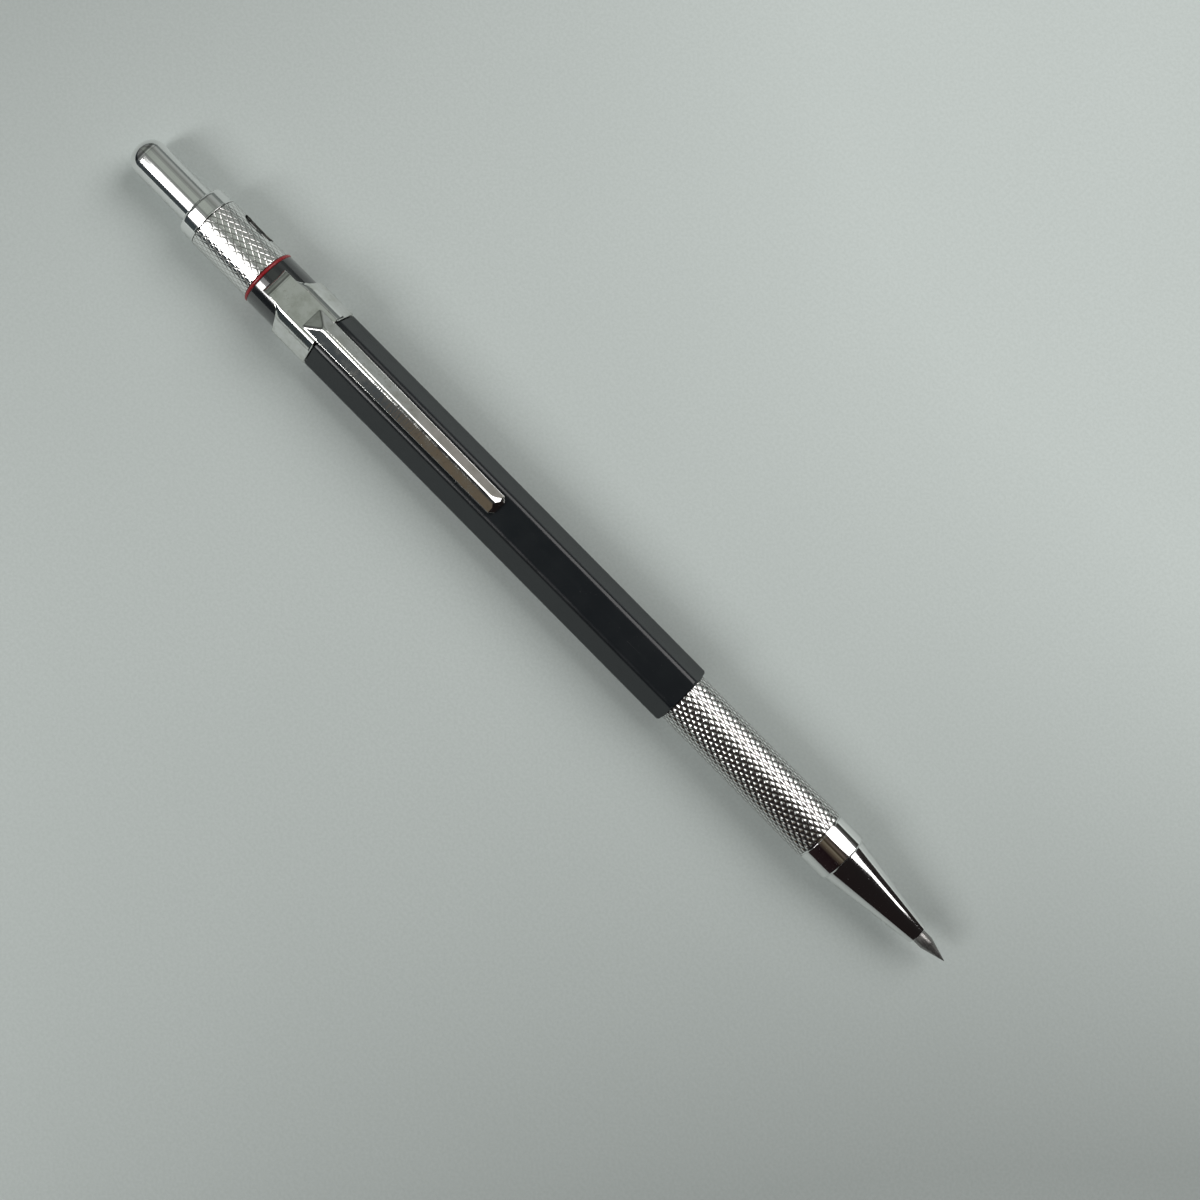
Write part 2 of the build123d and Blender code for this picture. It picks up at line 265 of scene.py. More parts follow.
# --- Materials ---
class Nodes:
    """A node tree with a few shorthand nodes. A value is a node's output or a plain number."""

    def __init__(self, tree):
        self.tree = tree

    def feed(self, value, socket):
        """Link an output to a socket, or set the socket to a number or a colour."""
        if isinstance(value, bpy.types.NodeSocket):
            self.tree.links.new(value, socket)
        elif isinstance(value, tuple):
            socket.default_value = (*value, 1)
        else:
            socket.default_value = value

    def node(self, kind, values=None, **settings):
        """Make a node, feed the values to its inputs and return its outputs."""
        made = self.tree.nodes.new(kind)
        for key, value in settings.items():
            setattr(made, key, value)
        for key, value in (values or {}).items():
            self.feed(value, made.inputs[key])
        return made.outputs

    def parts(self, vector):
        """The X, Y and Z of a vector."""
        return tuple(self.node("ShaderNodeSeparateXYZ", {"Vector": vector}))

    def remap(self, value, low, high, to_low=0.0, to_high=1.0, **settings):
        """Stretch low to high onto to_low to to_high, and hold it there."""
        values = {"Value": value, "From Min": low, "From Max": high,
                  "To Min": to_low, "To Max": to_high}
        return self.node("ShaderNodeMapRange", values, **settings)["Result"]

    def math(self, operation, first, second):
        values = {0: first, 1: second}
        return self.node("ShaderNodeMath", values, operation=operation)["Value"]

    def mix(self, share, first, second, **settings):
        """The first colour at share 0, the second at 1."""
        values = {"Factor": share, 6: first, 7: second}
        return self.node("ShaderNodeMix", values, data_type="RGBA", **settings)[2]


class Material(Nodes):
    """A Principled material; the values given with its name are settings of the shader."""

    def __init__(self, name, **values):
        self.material = bpy.data.materials.new(name)
        self.material.use_nodes = True
        super().__init__(self.material.node_tree)
        self.shader = self.tree.nodes["Principled BSDF"]
        self.place = self.node("ShaderNodeTexCoord")["Object"]
        for key, value in values.items():
            self.shader.inputs[key.replace("_", " ")].default_value = value

    def noise(self, scale, detail=3.0, roughness=0.55):
        """Noise of a scale, which can be one number or a list of one for each axis."""
        place = self.place
        if isinstance(scale, list):
            place = self.node("ShaderNodeMapping", {"Vector": place, "Scale": scale})["Vector"]
            scale = 1.0
        values = {"Vector": place, "Scale": scale, "Detail": detail, "Roughness": roughness}
        return self.node("ShaderNodeTexNoise", values)["Fac"]

    def bump(self, height, strength, distance, under=None):
        """A bumped normal, over another one if it is given."""
        values = {"Height": height, "Strength": strength, "Distance": distance}
        if under:
            values["Normal"] = under
        return self.node("ShaderNodeBump", values)["Normal"]

    def radius(self):
        """Distance from the pen's axis, in metres."""
        _, y, z = self.parts(self.place)
        height = self.math("SUBTRACT", z, AXIS_Z)
        across = self.math("MULTIPLY", y, y)
        squared = self.math("ADD", across, self.math("MULTIPLY", height, height))
        return self.math("SQRT", squared, 0.0)

    def colour(self, source):
        self.feed(source, self.shader.inputs["Base Color"])

    def roughness(self, source):
        self.feed(source, self.shader.inputs["Roughness"])

    def normal(self, source):
        self.feed(source, self.shader.inputs["Normal"])


def black_plastic():
    """Satin moulded plastic: fine grain, handling marks along the barrel, faint dust."""
    made = Material("satin_black_plastic", Metallic=0.0, IOR=1.43)
    cloud = made.noise(160, 4)
    dust = made.remap(made.noise(5200, 2, 0.5), 0.70, 0.76, 0.0, 0.30)
    base = made.mix(cloud, (0.0095, 0.0122, 0.0150), (0.0140, 0.0175, 0.0205))
    made.colour(made.mix(dust, base, (0.10, 0.10, 0.095)))
    handling = made.noise([90, 2600, 2600], 4, 0.6)
    smears = made.remap(made.noise(260, 3), 0.35, 0.70, 0.17, 0.25)
    marks = made.remap(handling, 0.55, 0.78, 0.0, 0.08)
    made.roughness(made.math("ADD", smears, marks))
    grain = made.bump(made.noise(9000, 2), 0.10, 0.00002)
    made.normal(made.bump(handling, 0.06, 0.00003, grain))
    return made.material


def gloss_black():
    """Polished black plastic with faint smears."""
    made = Material("gloss_black_plastic", Metallic=0.0, IOR=1.6,
                    Coat_Weight=1.0, Coat_Roughness=0.03, Coat_IOR=1.6)
    cloud = made.noise(420, 3)
    made.colour(made.mix(cloud, (0.006, 0.007, 0.009), (0.012, 0.013, 0.015)))
    made.roughness(made.remap(made.noise(700, 4), 0.3, 0.7, 0.10, 0.22))
    rings = made.noise([5200, 120, 120], 3, 0.6)
    made.normal(made.bump(rings, 0.05, 0.00002))
    return made.material


def chrome():
    """Bright plated metal with polishing lines round it and a little handling haze."""
    made = Material("polished_chrome", Metallic=1.0)
    haze = made.noise(380, 4)
    made.colour(made.mix(haze, (0.80, 0.805, 0.80), (0.92, 0.92, 0.91)))
    lines = made.noise([9000, 240, 240], 4, 0.6)
    pits = made.remap(made.noise(7000, 2), 0.70, 0.78, 0.0, 0.25)
    base = made.remap(lines, 0.3, 0.7, 0.045, 0.105)
    made.roughness(made.math("ADD", base, pits))
    fine = made.bump(lines, 0.05, 0.00001)
    made.normal(made.bump(made.noise(900, 3), 0.05, 0.00003, fine))
    return made.material


def clip_chrome():
    """Plated sheet with faint stains, stamping ripples and worn patches."""
    made = Material("plated_clip_sheet", Metallic=1.0)
    stains = made.remap(made.noise(520, 5, 0.62), 0.42, 0.66, 0.0, 1.0)
    blots = made.remap(made.noise(1500, 3), 0.60, 0.74, 0.0, 1.0)
    tone = made.mix(stains, (0.80, 0.80, 0.79), (0.66, 0.665, 0.63))
    made.colour(made.mix(blots, tone, (0.60, 0.585, 0.55)))
    made.roughness(made.remap(stains, 0.0, 1.0, 0.05, 0.13))
    ripple = made.noise([3400, 500, 500], 3, 0.5)
    fine = made.bump(made.noise(5200, 2), 0.05, 0.00001)
    made.normal(made.bump(ripple, 0.08, 0.00005, fine))
    return made.material


def knurled(name, crest, depth, groove_tone):
    """Plated knurl: a darker colour and a duller finish down in the grooves than on the crests."""
    made = Material(name, Metallic=1.0)
    height = made.remap(made.radius(), crest - depth, crest, 0.0, 1.0)
    clear = made.remap(height, 0.05, 0.45, 0.0, 1.0)
    patches = made.remap(made.noise(900, 3), 0.35, 0.65, 0.4, 1.0)
    crest_tone = made.mix(patches, (0.78, 0.77, 0.76), (0.90, 0.90, 0.89))
    # the colour darkens from the crests down into the grooves
    made.colour(made.mix(clear, groove_tone, crest_tone))
    worn = made.remap(height, 0.0, 0.8, 0.22, 0.09)
    made.roughness(made.math("ADD", worn, made.remap(made.noise(4200, 2), 0.4, 0.7, 0.0, 0.05)))
    made.normal(made.bump(made.noise(3600, 3), 0.10, 0.00002))
    return made.material


def clouded(name, scale, dark, light, low, high, grain, strength):
    """Plain material between two colours and two roughnesses, with a fine grain."""
    made = Material(name, Metallic=0.0, IOR=1.5)
    cloud = made.noise(scale, 3)
    made.colour(made.mix(cloud, dark, light))
    made.roughness(made.remap(cloud, 0.3, 0.7, low, high))
    made.normal(made.bump(made.noise(grain, 2), strength, 0.00001))
    return made.material


def red_plastic():
    """Glossy red of the ring."""
    dark, light = (0.300, 0.012, 0.018), (0.420, 0.022, 0.030)
    return clouded("red_plastic", 1600, dark, light, 0.20, 0.34, 5200, 0.08)


def drum_black():
    """Matt black of the grade drum."""
    dark, light = (0.010, 0.010, 0.011), (0.024, 0.024, 0.024)
    return clouded("drum_black", 1500, dark, light, 0.35, 0.5, 6000, 0.1)


def mark_white():
    """White ink of the grade marks."""
    dark, light = (0.84, 0.84, 0.82), (0.94, 0.94, 0.92)
    return clouded("mark_white", 3000, dark, light, 0.25, 0.4, 8000, 0.1)


def graphite():
    """Drawing lead: dark, slightly metallic, with sharpening streaks."""
    made = Material("graphite_lead", Metallic=0.85)
    streaks = made.noise([700, 5200, 5200], 5, 0.7)
    specks = made.remap(made.noise(6000, 2), 0.55, 0.75, 0.0, 1.0)
    base = made.mix(streaks, (0.16, 0.155, 0.15), (0.36, 0.355, 0.345))
    made.colour(made.mix(specks, base, (0.55, 0.54, 0.52)))
    made.roughness(made.remap(streaks, 0.3, 0.7, 0.26, 0.44))
    made.normal(made.bump(streaks, 0.35, 0.00003))
    return made.material


def turned_metal(name, dark, light, low, high):
    """Turned inner metal with tool lines round it."""
    made = Material(name, Metallic=1.0)
    lines = made.noise([7000, 200, 200], 3, 0.6)
    made.colour(made.mix(made.noise(800, 3), dark, light))
    made.roughness(made.remap(lines, 0.3, 0.7, low, high))
    made.normal(made.bump(lines, 0.15, 0.00002))
    return made.material


def table_top():
    """Pale grey-green table with a faint mottle.

    Its brightness is painted light: a second-degree polynomial of the place on it, standing in for the
    lamps' uneven fall across the table, fitted to the photographed table's, and held between a lowest
    and a highest level.
    """
    middle, slope_x, slope_y = 1.086, -1.26, 2.68
    curve_x, curve_y, twist_xy = -23.0, 13.6, 36.5
    lowest, highest = 0.7, 1.3
    made = Material("pale_table", Metallic=0.0, Specular_IOR_Level=0.25)
    broad = made.noise(14, 4, 0.6)
    fine = made.noise(2400, 3, 0.6)
    tone = made.mix(broad, (0.62, 0.68, 0.665), (0.68, 0.74, 0.725))
    tone = made.mix(made.remap(fine, 0.35, 0.65, 0.0, 0.55), tone, (0.57, 0.63, 0.61))
    # painted light: the table's tone is scaled by a polynomial of its place, in place of the lamps'
    # uneven light
    x, y, _ = made.parts(made.place)
    x = made.remap(x, -0.11, 0.13, -0.12, 0.12)
    y = made.remap(y, -0.12, 0.12, -0.12, 0.12)
    turned = made.math("ADD", made.math("MULTIPLY", x, twist_xy), made.math("MULTIPLY", y, curve_y))
    rise = made.math("MULTIPLY", y, made.math("ADD", turned, slope_y))
    fall = made.math("MULTIPLY", x, made.math("ADD", made.math("MULTIPLY", x, curve_x), slope_x))
    level = made.math("ADD", made.math("ADD", rise, fall), middle)
    level = made.remap(level, lowest, highest, lowest, highest)
    scaled = made.node("ShaderNodeVectorMath", {0: tone, "Scale": level}, operation="SCALE")
    made.colour(scaled["Vector"])
    made.roughness(made.remap(fine, 0.3, 0.7, 0.60, 0.75))
    made.normal(made.bump(fine, 0.08, 0.0001))
    return made.material


def dress(piece, body, material, slot, *nodes):
    """Give a piece its material and its body, and hide the nodes it stands for. The slot is not used.
    """
    piece.data.materials.clear()
    piece.data.materials.append(material)
    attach(piece, body)
    if nodes:
        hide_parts(*nodes)
    return piece


# --- Round pieces ---
def make_button(material):
    """Push button: a domed cap, open at its front end."""
    front = span("button")[1]
    radius = radius_of("button")
    bore = radius - 0.35 * MM
    bottom = REAR + 1.6 * MM
    dome = 2.1 * MM
    profile = rounded(
        [(REAR, 0.0), (REAR, radius), (front, radius), (front, bore), (bottom, bore), (bottom, 0.0)],
        {1: dome, 2: 0.1 * MM, 3: 0.1 * MM, 4: 0.5 * MM},
        14,
    )
    return dress(lathe("push_button", profile, closed=False), "plunger", material, "chrome", "button")


def make_collar(material):
    """Smooth end ring with a well rounded rear edge and a fine lip at the front."""
    radius = radius_of("collar")
    bore = radius_of("button") + 0.05 * MM
    deep = span("rear_tube")[0]
    lip = 0.28 * MM
    profile = rounded(
        [
            (COLLAR_REAR, bore),
            (COLLAR_REAR, radius - 0.04 * MM),
            (COLLAR_FRONT - lip, radius - 0.05 * MM),
            (COLLAR_FRONT - lip * 0.8, radius),
            (COLLAR_FRONT, radius),
            (COLLAR_FRONT, TUBE_SEAT),
            (deep, TUBE_SEAT),
            (deep, bore),
        ],
        {0: 0.12 * MM, 1: 1.15 * MM, 3: 0.05 * MM, 4: 0.06 * MM},
        12,
    )
    return dress(lathe("end_collar", profile), "barrel", material, "chrome", "collar")


def plain_ring(name, node, radius, rear_edge, front_edge):
    """A ring on the rear tube, as long as a CAD node, with its two outer edges rounded."""
    rear, front = span(node)
    profile = rounded(
        [(rear, TUBE_SEAT), (rear, radius), (front, radius), (front, TUBE_SEAT)],
        {1: rear_edge * MM, 2: front_edge * MM},
    )
    return lathe(name, profile)


def make_red_ring(material):
    """Thin red ring with rounded edges."""
    ring = plain_ring("indicator_red_ring", "red_ring", radius_of("red_ring"), 0.2, 0.2)
    return dress(ring, "barrel", material, "red_plastic", "red_ring")


def make_cap(material):
    """Round glossy cap behind the clip band."""
    ring = plain_ring("black_cap", "rear_cap", radius_of("rear_cap"), 0.12, 0.05)
    return dress(ring, "barrel", material, "black_gloss", "rear_cap")


def make_nose_ring(material):
    """Smooth ring between the grip and the cone, its edges broken."""
    radius = radius_of("nose_ring")
    bore = radius - 0.83 * MM
    groove = 0.16 * MM
    chamfer_length, chamfer_depth = 0.24 * MM, 0.33 * MM
    profile = rounded(
        [
            (GRIP_FRONT, bore),
            (GRIP_FRONT, radius - groove),
            (GRIP_FRONT + groove, radius - groove),
            (GRIP_FRONT + 0.20 * MM, radius),
            (RING_FRONT - chamfer_length, radius),
            (RING_FRONT, radius - chamfer_depth),
            (RING_FRONT, bore),
        ],
        {3: 0.06 * MM, 4: 0.12 * MM, 5: 0.04 * MM},
    )
    return dress(lathe("smooth_nose_ring", profile), "barrel", material, "chrome", "nose_ring")


def make_cone(material):
    """Nose cone with a small shoulder at its root and a flared mouth for the jaws."""
    rear = span("nose_cone")[0]
    root, tip = 3.5 * MM, 1.5 * MM
    spigot, bore = 3.0 * MM, 2.2 * MM
    mouth, throat = 1.34 * MM, 1.28 * MM
    shoulder = RING_FRONT - 0.04 * MM
    profile = rounded(
        [
            (rear, bore),
            (rear, spigot),
            (shoulder, spigot),
            (shoulder, root),
            (CONE_FRONT, tip),
            (CONE_FRONT, mouth),
            (station(145.25), throat),
            (station(138.5), bore),
        ],
        {3: 0.04 * MM, 4: 0.11 * MM, 5: 0.03 * MM},
    )
    return dress(lathe("cone", profile), "barrel", material, "chrome", "nose_cone")


def make_lead(material):
    """Drawing lead with a hand-sharpened point: the cone's foot wanders a little."""
    radius = radius_of("lead")
    rear = span("lead")[0]
    foot = POINT - 3.4 * MM
    taper_length = 3.3 * MM
    tip = 0.07 * MM
    steps, rows = 96, 25
    turn = [2 * math.pi * i / steps for i in range(steps)]
    wander = [0.16 * math.sin(angle + 0.6) + 0.07 * math.sin(3 * angle) for angle in turn]
    loops = [[on_axis(rear, 0, 0)]]
    for x, share in ((rear, 0.94), (rear + 0.06 * MM, 1.0), (foot - 1.2 * MM, 1.0)):
        loops.append([on_axis(x, radius * share, angle) for angle in turn])
    for row in range(rows):
        share = row / rows
        taper = radius * (1 - share) + tip * share
        loops.append([
            on_axis(foot + taper_length * share + shift * MM * (1 - share), taper, angle)
            for angle, shift in zip(turn, wander)
        ])
    loops.append([on_axis(POINT - 0.04 * MM, 0.05 * MM, angle) for angle in turn])
    loops.append([on_axis(POINT, 0, 0)])
    return dress(skin("drawing_lead", loops), "lead", material, "graphite", "lead")


# --- Knurled pieces ---
def knurl_solid(name, rear, front, crest, depth, starts, cuts):
    """A closed solid whose side is crossed by two sets of V-shaped helical grooves.

    Places on the side are counted in half pitches: a round the sleeve and b along it. The
    grooves run where (a + b) / 2 or (a - b) / 2 is whole. Points are put at each of the cuts
    across a pitch.
    """
    bm = bmesh.new()
    half_pitch = KNURL_PERIOD * MM / 2
    first = -2
    last = math.ceil((front - rear) / half_pitch) + 2
    turns = 2 * starts
    fine = len(cuts)
    points = {}

    def point(i, j):
        """The point that many steps across both sets of grooves."""
        whole_i, part_i = divmod(i, fine)
        whole_j, part_j = divmod(j, fine)
        key = ((whole_i + whole_j) % turns, whole_i - whole_j, part_i, part_j)
        if key not in points:
            share_i, rise_i = cuts[part_i]
            share_j, rise_j = cuts[part_j]
            radius = crest - depth * (1 - min(rise_i, rise_j))
            angle = (whole_i + share_i + whole_j + share_j) * math.pi / starts
            x = rear + (whole_i + share_i - whole_j - share_j) * half_pitch
            points[key] = bm.verts.new(on_axis(x, radius, angle))
        return points[key]

    for b in range(first, last):
        for a in range(turns):
            if (a + b) % 2 == 0:
                continue
            corner_i = (a + b - 1) // 2 * fine
            corner_j = (a - b - 1) // 2 * fine
            for i in range(corner_i, corner_i + fine):
                for j in range(corner_j, corner_j + fine):
                    bm.faces.new((point(i, j), point(i + 1, j), point(i + 1, j + 1), point(i, j + 1)))
    for end in (-1, 1):
        pole_x = rear + (first - 3 if end < 0 else last + 2) * half_pitch
        pole = bm.verts.new(on_axis(pole_x, 0, 0))
        middle = (rear + front) / 2
        for edge in [e for e in bm.edges if len(e.link_faces) == 1 and pole not in e.verts]:
            if (edge.verts[0].co.x - middle) * end > 0:
                bm.faces.new((edge.verts[0], edge.verts[1], pole))
    return finish_mesh(name, bm, 60.0)


def knurled_sleeve(name, rear, front, crest, depth, cuts, bore_steps, chamfer):
    """A knurled tube with turned ends; bore_steps are the (x, radius) points inside."""
    sleeve = knurl_solid(name, rear, front, crest, depth, KNURL_STARTS, cuts)
    outside = [
        (rear, crest - chamfer),
        (rear + chamfer * 0.8, crest + 0.05 * MM),
        (front - chamfer * 0.8, crest + 0.05 * MM),
        (front, crest - chamfer),
    ]
    envelope = lathe("envelope", bore_steps + outside, steps=120)
    boolean(sleeve, envelope, "INTERSECT")
    return sleeve


def make_grip(material):
    """Front grip: the knurled sleeve, with its plain spigot inside the barrel."""
    rear = BARREL_FRONT
    bore = [(GRIP_FRONT, GRIP_BORE * MM), (rear, GRIP_BORE * MM)]
    sleeve = knurled_sleeve("knurled_grip", rear, GRIP_FRONT, GRIP_CREST * MM,
                            GRIP_KNURL_DEPTH * MM, GRIP_CUTS, bore, 0.2 * MM)
    drop_slivers(sleeve)
    shade(sleeve, 62.0)
    dress(sleeve, "barrel", material, "knurled_chrome", "grip_sleeve")
    inner, outer = 2.75 * MM, 3.3 * MM
    front = rear + 0.3 * MM
    profile = rounded(
        [(SPIGOT_REAR, inner), (SPIGOT_REAR, outer), (front, outer), (front, inner)],
        {0: 0.1 * MM, 1: 0.1 * MM},
    )
    return dress(lathe("grip_spigot", profile, steps=64), "barrel", material, "knurled_chrome")


def window_cutter(length, width, depth):
    """A round-ended slot that points out of the pen at the window's angle."""
    half = (length - width) / 2
    arc_steps = 24
    outline = []
    for sign in (1, -1):
        for step in range(arc_steps + 1):
            angle = math.pi * (step / arc_steps - 0.5)
            outline.append((
                sign * (half + width / 2 * math.cos(angle)),
                sign * width / 2 * math.sin(angle),
            ))
    outward = Vector((0, math.sin(WINDOW_ANGLE), math.cos(WINDOW_ANGLE)))
    aside = Vector((0, math.cos(WINDOW_ANGLE), -math.sin(WINDOW_ANGLE)))
    centre = Vector((station(WINDOW_CENTRE), 0, AXIS_Z))
    loops = []
    for reach in depth:
        loops.append([
            centre + Vector((x, 0, 0)) + aside * across + outward * reach
            for x, across in outline
        ])
    return skin("window_cutter", loops, capped=True)


def make_indicator(material):
    """Turning sleeve of the lead-grade indicator, with its window."""
    crest = radius_of("indicator_sleeve")
    bore = [(SLEEVE_FRONT, SLEEVE_BORE * MM), (SLEEVE_REAR, SLEEVE_BORE * MM)]
    sleeve = knurled_sleeve("knurled_indicator", SLEEVE_REAR, SLEEVE_FRONT, crest,
                            SLEEVE_KNURL_DEPTH * MM, SLEEVE_CUTS, bore, 0.12 * MM)
    cutter = window_cutter(WINDOW_LENGTH * MM, WINDOW_WIDTH * MM, (2.0 * MM, 6.0 * MM))
    boolean(sleeve, cutter, "DIFFERENCE")
    drop_slivers(sleeve)
    shade(sleeve, 62.0)
    return dress(sleeve, "indicator", material, "knurled_chrome", "indicator_sleeve")


# --- Grade drum and its marks ---
def make_drum(material):
    """Black drum under the window."""
    ring = plain_ring("mark_drum", "grade_drum", DRUM_RADIUS, 0.1, 0.1)
    return dress(ring, "barrel", material, "drum_print", "grade_drum")


def make_marks(material):
    """Lead grades printed round the drum, one under the window at each sixth of a turn."""
    grades = ("HB", "F", "H", "2H", "2B", "B")
    bm = bmesh.new()
    for number, grade in enumerate(grades):
        text = bpy.data.curves.new("grade", "FONT")
        text.body = grade
        text.align_x = "CENTER"
        text.align_y = "CENTER"
        text.size = 3.0 * MM
        text.extrude = 0.02 * MM
        text.resolution_u = 4
        letters = bpy.data.objects.new("grade", text)
        bpy.context.collection.objects.link(letters)
        depsgraph = bpy.context.evaluated_depsgraph_get()
        mesh = bpy.data.meshes.new_from_object(letters.evaluated_get(depsgraph))
        bpy.data.objects.remove(letters)
        bpy.data.curves.remove(text)
        middle = WINDOW_ANGLE + number * math.pi / 3
        for vertex in mesh.vertices:
            x, across, height = vertex.co
            angle = middle - across / DRUM_RADIUS
            vertex.co = on_axis(station(WINDOW_CENTRE) + x, DRUM_RADIUS + height, angle)
        bm.from_mesh(mesh)
        bpy.data.meshes.remove(mesh)
    bmesh.ops.remove_doubles(bm, verts=bm.verts, dist=0.0005 * MM)
    marks = finish_mesh("grade_marks", bm)
    return dress(marks, "barrel", material, "drum_print")


# --- Hexagonal pieces ---
def make_barrel(material):
    """Hexagonal barrel, reduced under the band, with a turned front edge."""
    rear = span("barrel")[0]
    outline = hexagon(BARREL_APOTHEM, BARREL_CORNER)
    seat = hexagon(BAND_APOTHEM - BAND_SHEET - FIT_GAP, BARREL_CORNER - 0.1)
    band_front = station(BAND_FRONT)
    bore, spigot_hole, mouth = 2.8 * MM, 3.32 * MM, 3.40
    groove = 0.35
    loops = []

    def hex_loop(x, pairs, limit=math.inf, shrink=0.0):
        """A hexagonal loop, turned down to a limiting radius and drawn in all round."""
        loops.append([
            on_axis(x, (min(radius, limit) - shrink) * MM, angle) for angle, radius in pairs
        ])

    hex_loop(rear, seat)
    hex_loop(band_front - 0.05 * MM, seat)
    hex_loop(band_front - 0.03 * MM, seat, shrink=groove)
    hex_loop(band_front + 0.14 * MM, seat, shrink=groove)
    hex_loop(band_front + 0.16 * MM, outline, shrink=0.06)
    hex_loop(band_front + 0.20 * MM, outline, shrink=0.01)
    hex_loop(band_front + 0.26 * MM, outline)
    runs = 24
    turned_edge = BARREL_FRONT - 1.3 * MM
    for step in range(1, runs + 1):
        hex_loop(band_front + (turned_edge - band_front) * step / runs, outline)
    for back, limit, shrink in (
        (0.30, 4.48, 0.0), (0.20, 4.42, 0.0), (0.10, 4.34, 0.0), (0.04, 4.29, 0.02), (0.0, 4.24, 0.06)
    ):
        hex_loop(BARREL_FRONT - back * MM, outline, limit, shrink)
    hex_loop(BARREL_FRONT, outline, mouth)
    for x, radius in ((SPIGOT_REAR, spigot_hole), (SPIGOT_REAR, bore), (rear, bore)):
        loops.append([on_axis(x, radius, angle) for angle, _ in outline])
    piece = skin("hex_barrel", loops, closed=True, sharp_degrees=24.0)
    return dress(piece, "barrel", material, "black_plastic", "barrel")


def make_band(material):
    """Sheet-metal band round the barrel; its rear edge sweeps back beside the table."""
    outline = hexagon(BAND_APOTHEM, BAND_CORNER, 16, 10)
    rear, front = station(BAND_REAR), station(BAND_FRONT)
    lean, flare = 0.85 * MM, 1.0 * MM
    table_half, fade = 2.02, 0.32
    loops = []

    def rear_x(angle, radius):
        """Where the band's rear edge is, at a place round the band."""
        height = max(radius * math.cos(angle), 0.0) / BAND_APOTHEM
        beside = max(abs(radius * math.sin(angle)) - table_half, 0.0)
        near = math.exp(-beside / fade) if height > 0.5 else 0.0
        return rear - lean * height - flare * near

    def loop(share, inset):
        """A loop at a share of the band's length, that far in from its outside."""
        points = []
        for angle, radius in outline:
            start = rear_x(angle, radius)
            points.append(on_axis(start + (front - start) * share, (radius - inset) * MM, angle))
        loops.append(points)

    edge, broken = 0.012, 0.06
    runs = 12
    loop(0.0, broken)
    for step in range(runs + 1):
        loop(edge + (1 - 2 * edge) * step / runs, 0.0)
    loop(1.0, broken)
    loop(1.0, BAND_SHEET)
    loop(0.0, BAND_SHEET)
    piece = skin("clip_collar", loops, closed=True, sharp_degrees=28.0)
    return dress(piece, "barrel", material, "clip_chrome", "clip_band")


# --- Clip strip ---
SHEET = 0.24
EDGE_RADIUS = 0.055
# table and rolled lip
TABLE_REAR = 27.25
TABLE_TOP = 4.95
TABLE_HALF = 1.96
LIP_RADIUS = 1.75
LIP_TURN = math.radians(60)
# the table's side walls, which grow between two stations and lie over the band's flanks
WALL_START = 27.9
WALL_FULL = 29.7
WALL_FRONT = 35.32
WALL_LOW = 2.40
WALL_BEND = 0.62
WALL_REACH = 0.80
WALL_DROP = 0.65
WALL_SPLAY = 0.10
# ramp from the table to the ridge; the roof is clear of it from RAMP_CLEAR on
RAMP_REAR = 32.8
RAMP_FRONT = 35.0
RAMP_CLEAR = 35.6
RIDGE = 1.0
STEEP = 9
# gabled arm
FLANK_SLOPE = math.tan(math.radians(34.3))
CROWN_RADIUS = 0.6
ARM_ROOT_HALF = 1.70
ARM_TIP_HALF = 1.50
ARM_DROP = 0.30
SKIRT = 0.26
# foot under the arm, with a barb on each side
FOOT_REAR = 60.9
FOOT_STEP = 0.12
FOOT_LOW = 4.05
FOOT_FLARE = 0.11
BARB = 0.12
# hip at the tip: a middle facet, and one on each side
HIP_REAR = 66.5
HIP_HEIGHT = 0.86
HIP_SLOPE = 0.86
CORNER_REAR = 66.05
CORNER_SLOPE = 0.24
CORNER_LEAN = 0.36
CORNER_SHIFT = 0.30
TIP_FRONT = 67.4
TIP_SOLID = 0.75
TIP_ROUND = 0.6
TIP_NARROWING = 0.58
# degrees round the strip's outer edge, where it has points
BEND_ANGLES = (8, 16, 24, 31, 38)
EDGE_ANGLES = (50, 66, 86)


def least(first, second, blend):
    """The lower of two heights, rounded where they cross."""
    near = max(blend - abs(first - second), 0.0) / blend
    return min(first, second) - near * near * blend / 4


def roof(y, half):
    """Height of the gabled arm over its edges: two flanks and a rounded crown."""
    flank = max(half - EDGE_RADIUS - abs(y), 0.0) * FLANK_SLOPE
    apex = (half - EDGE_RADIUS) * FLANK_SLOPE
    tilt = math.atan(FLANK_SLOPE)
    crown_half = CROWN_RADIUS * math.sin(tilt)
    if abs(y) > crown_half:
        return flank
    centre = apex - CROWN_RADIUS / math.cos(tilt)
    return centre + math.sqrt(CROWN_RADIUS ** 2 - y ** 2)


